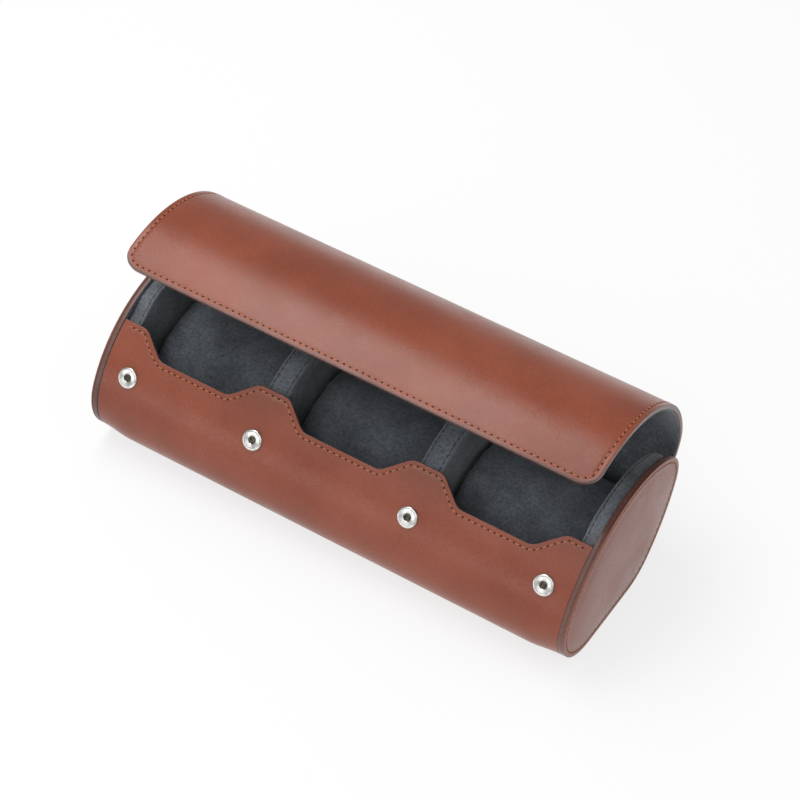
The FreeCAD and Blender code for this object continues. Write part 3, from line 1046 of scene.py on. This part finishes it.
def keep_inside(piece, node):
    """Hold the cushion between the walls of its bay and above its seat."""
    low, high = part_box(node)
    for vert in piece.data.vertices:
        vert.co.x = min(max(vert.co.x, low.x + SIDE_ROOM * MM), high.x - SIDE_ROOM * MM)
        vert.co.z = max(vert.co.z, low.z)


print("the filling moves the suede %.0f mm at most" % SWELL_CAP)

# %% [markdown]
# The three cushions differ in where they lie and in how their folds fall. The outer two bays are a hair
# wider than the middle one, and so are their cushions.

# %% Three cushions
SIDE_X = (INNER_WALL_X + DIVIDER_X + DIVIDER_HALF) / 2.0
SIDE_HALF = 35.1
MIDDLE_HALF = 35.0


def cushion(label, x, half, seed):
    """One cushion, which rides on its own body."""
    piece = as_piece(label + "_pillow", cushion_start(half), PILLOW_SUEDE)
    even_cloth(piece)
    plump(piece)
    soft = piece.modifiers.new("soft", "SUBSURF")
    soft.levels = 1
    soft.render_levels = 1
    settle(piece)
    gather(piece, half, seed)
    piece.data.transform(Matrix.Translation((x * MM, 0.0, 0.0)))
    keep_inside(piece, label + "_cushion_cover")
    for polygon in piece.data.polygons:
        polygon.use_smooth = True
    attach(piece, label + "_cushion")
    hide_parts(label + "_cushion_cover", label + "_cushion_core")
    print(label, "cushion", len(piece.data.polygons), "faces")


cushion("left", -SIDE_X, SIDE_HALF, 1.0)
cushion("middle", 0.0, MIDDLE_HALF, 2.0)
cushion("right", SIDE_X, SIDE_HALF, 3.0)

# %% [markdown]
# The snaps are turned and pressed metal, so a half profile is spun round the snap's axis. The sockets sit
# on the front leather, and the studs with their flanges on the underside of the flap. A stud is shallow
# enough to go into its socket without touching it.

# %% Snaps
SNAP_DIRECTION = 237.1
SNAP_PLACES = (-112.4, -42.0, 42.0, 112.4)
# Profiles are (distance from the axis, height) from the rim inwards.
SOCKET_PROFILE = (
    (5.1, -0.3), (5.1, 0.4), (4.98, 0.68), (4.7, 0.86), (4.3, 0.93), (3.7, 0.9), (3.0, 0.8), (2.4, 0.72),
    (1.85, 0.62), (1.7, 0.2), (1.5, 0.05), (1.1, 0.05), (0.95, 0.25), (0.7, 0.34), (0.4, 0.22), (0.0, 0.16))
STUD_PROFILE = (
    (3.6, 0.0), (3.6, 0.06), (3.3, 0.13), (2.4, 0.26), (1.6, 0.25), (1.15, 0.32), (1.3, 0.45), (1.1, 0.58),
    (0.0, 0.62))
WELL_RADIUS = 1.8
STUD_SKIN = 0.55
SPIN_STEPS = 36
WELD = 0.01
SNAP_SLICE = 0.01


def spun(bm, profile, place, normal):
    """Spin a half profile round the snap's axis."""
    side = Vector((1.0, 0.0, 0.0))
    verts = [bm.verts.new((place + side * r + normal * h) * MM) for r, h in profile]
    edges = [bm.edges.new(pair) for pair in zip(verts, verts[1:])]
    bmesh.ops.spin(
        bm, geom=verts + edges, cent=place * MM, axis=normal, angle=math.tau, steps=SPIN_STEPS,
        use_merge=True)


def snaps(name, body, path_spot, profile, nodes):
    """Four snaps as one mesh. The sockets' wells get a dark finish of painted shade."""
    bm = bmesh.new()
    for x in SNAP_PLACES:
        place, normal = path_spot(x)
        spun(bm, profile, place, normal)
    bmesh.ops.remove_doubles(bm, verts=bm.verts[:], dist=WELD * MM)
    bmesh.ops.recalc_face_normals(bm, faces=bm.faces[:])
    for face in bm.faces:
        centre = face.calc_center_median()
        axis = min(SNAP_PLACES, key=lambda x: abs(x * MM - centre.x))
        place, normal = path_spot(axis)
        # Faces of a socket near its axis get the painted shade of the well.
        if name == "sockets" and (centre - place * MM).cross(normal).length < WELL_RADIUS * MM:
            face.material_index = 1
    piece = as_piece(name, bm, NICKEL, WELL_PAINTED_SHADE)
    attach(piece, body)
    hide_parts(*nodes)
    return piece


def snap_place(offset, turned):
    """Gives the place and axis of a snap from its x, on the wrap or turned with the open flap."""
    spot = follow(SECTION, SNAP_DIRECTION, SNAP_DIRECTION + SNAP_SLICE, offset)[0]
    a = math.radians(SNAP_DIRECTION)
    out = Vector((0.0, math.sin(a), -math.cos(a)))
    if turned:
        spot = opened(spot)
        out = Matrix.Rotation(-OPEN_ANGLE, 3, "X") @ -out

    def at(x):
        return Vector((x, spot[0], spot[1])), out

    return at


snaps("sockets", "case", snap_place(WRAP_SKIN, False), SOCKET_PROFILE, ("snap_sockets",))
snaps("studs", "flap", snap_place(STUD_SKIN, True), STUD_PROFILE, ("snap_studs",))
# The eyelets and caps behind the snaps stay solids of the frame, and only get a finish.
for node in ("socket_eyelets", "stud_caps"):
    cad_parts[node].data.materials.clear()
    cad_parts[node].data.materials.append(NICKEL)
print("snaps at", SNAP_PLACES)

# %% [markdown]
# Four soft lamps stand where the photograph's highlights and shadows ask for them: overhead, in front, low
# in front and, weakly, at the right. They are large, because small lamps would draw hard shadows on the
# floor. The world adds an even white light.

# %% Lamps
SKY_STRENGTH = 0.45


def lamp(name, place, aim, wide, tall, power):
    """A rectangular lamp turned towards its aim."""
    light = bpy.data.lights.new(name, "AREA")
    light.shape = "RECTANGLE"
    light.size = wide
    light.size_y = tall
    light.energy = power
    holder = bpy.data.objects.new(name, light)
    holder.location = place
    holder.rotation_euler = (Vector(aim) - Vector(place)).to_track_quat("-Z", "Y").to_euler()
    bpy.context.scene.collection.objects.link(holder)


lamp("overhead", (-0.40, 0.0, 1.1), (0.0, 0.0, 0.06), 0.9, 0.5, 7.5)
lamp("front", (-0.05, -1.0, 1.0), (0.0, 0.0, 0.05), 1.5, 1.1, 6.5)
lamp("low_front", (-0.45, -1.15, 0.14), (0.0, 0.0, 0.04), 1.3, 0.16, 1.9)
lamp("right_side", (1.0, 0.2, 0.5), (0.1, 0.0, 0.04), 0.6, 0.6, 0.85)

world = bpy.data.worlds.new("studio")
bpy.context.scene.world = world
world.use_nodes = True
sky = world.node_tree.nodes["Background"]
sky.inputs["Color"].default_value = (1.0, 1.0, 1.0, 1.0)
sky.inputs["Strength"].default_value = SKY_STRENGTH
print("lamps:", len(bpy.data.lights))

# %% [markdown]
# The roll stands on a white floor. A plain floor would come out grey in the picture, so this one glows
# where it is seen. It lights the roll only as a plain white floor would.

# %% White floor
FLOOR_HALF = 4.0
FLOOR_GLOW = 0.75


def seen_directly(nodes, links):
    """1 for rays from the camera, mirrors and glass."""
    light_path = nodes.new("ShaderNodeLightPath")
    total = light_path.outputs["Is Camera Ray"]
    for name in ("Is Glossy Ray", "Is Transmission Ray"):
        most = nodes.new("ShaderNodeMath")
        most.operation = "MAXIMUM"
        links.new(total, most.inputs[0])
        links.new(light_path.outputs[name], most.inputs[1])
        total = most.outputs[0]
    return total


bm = bmesh.new()
bmesh.ops.create_grid(bm, x_segments=1, y_segments=1, size=FLOOR_HALF)
floor_finish = bpy.data.materials.new("white_floor")
floor_finish.use_nodes = True
nodes, links = floor_finish.node_tree.nodes, floor_finish.node_tree.links
nodes["Principled BSDF"].inputs["Base Color"].default_value = (0.9, 0.9, 0.9, 1.0)
nodes["Principled BSDF"].inputs["Roughness"].default_value = 0.9
glow = nodes.new("ShaderNodeEmission")
glow.inputs["Strength"].default_value = 1.0
glow_share = nodes.new("ShaderNodeMath")
glow_share.operation = "MULTIPLY"
glow_share.inputs[1].default_value = FLOOR_GLOW
links.new(seen_directly(nodes, links), glow_share.inputs[0])
choose = nodes.new("ShaderNodeMixShader")
links.new(glow_share.outputs[0], choose.inputs["Fac"])
links.new(nodes["Principled BSDF"].outputs[0], choose.inputs[1])
links.new(glow.outputs[0], choose.inputs[2])
links.new(choose.outputs[0], nodes["Material Output"].inputs["Surface"])
floor = as_piece("floor", bm, floor_finish)
print("floor %.0f m wide" % (2.0 * FLOOR_HALF))

# %% [markdown]
# The camera takes the photograph's own view. Its place, lens and small roll come from fitting the end
# outline and the snaps to the picture.

# %% Camera
CAMERA_PLACE = Vector((0.4305, -0.7513, 0.9314))
AZIMUTH = math.radians(29.43)
ELEVATION = math.radians(45.24)
ROLL = math.radians(3.84)
LENS = 120.0
SENSOR = 36.0
back = Vector((
    math.sin(AZIMUTH) * math.cos(ELEVATION), -math.cos(AZIMUTH) * math.cos(ELEVATION), math.sin(ELEVATION)))
right = Vector((math.cos(AZIMUTH), math.sin(AZIMUTH), 0.0))
up = back.cross(right)
level, tilt = math.cos(ROLL), math.sin(ROLL)
right, up = right * level + up * tilt, up * level - right * tilt
camera_data = bpy.data.cameras.new("camera")
camera_data.lens = LENS
camera_data.sensor_width = SENSOR
camera = bpy.data.objects.new("camera", camera_data)
camera.matrix_world = Matrix.Translation(CAMERA_PLACE) @ Matrix((right, up, back)).transposed().to_4x4()
bpy.context.scene.collection.objects.link(camera)
bpy.context.scene.camera = camera
bpy.context.scene.view_settings.view_transform = "Standard"
print("camera right", [round(v, 4) for v in right], "up", [round(v, 4) for v in up])
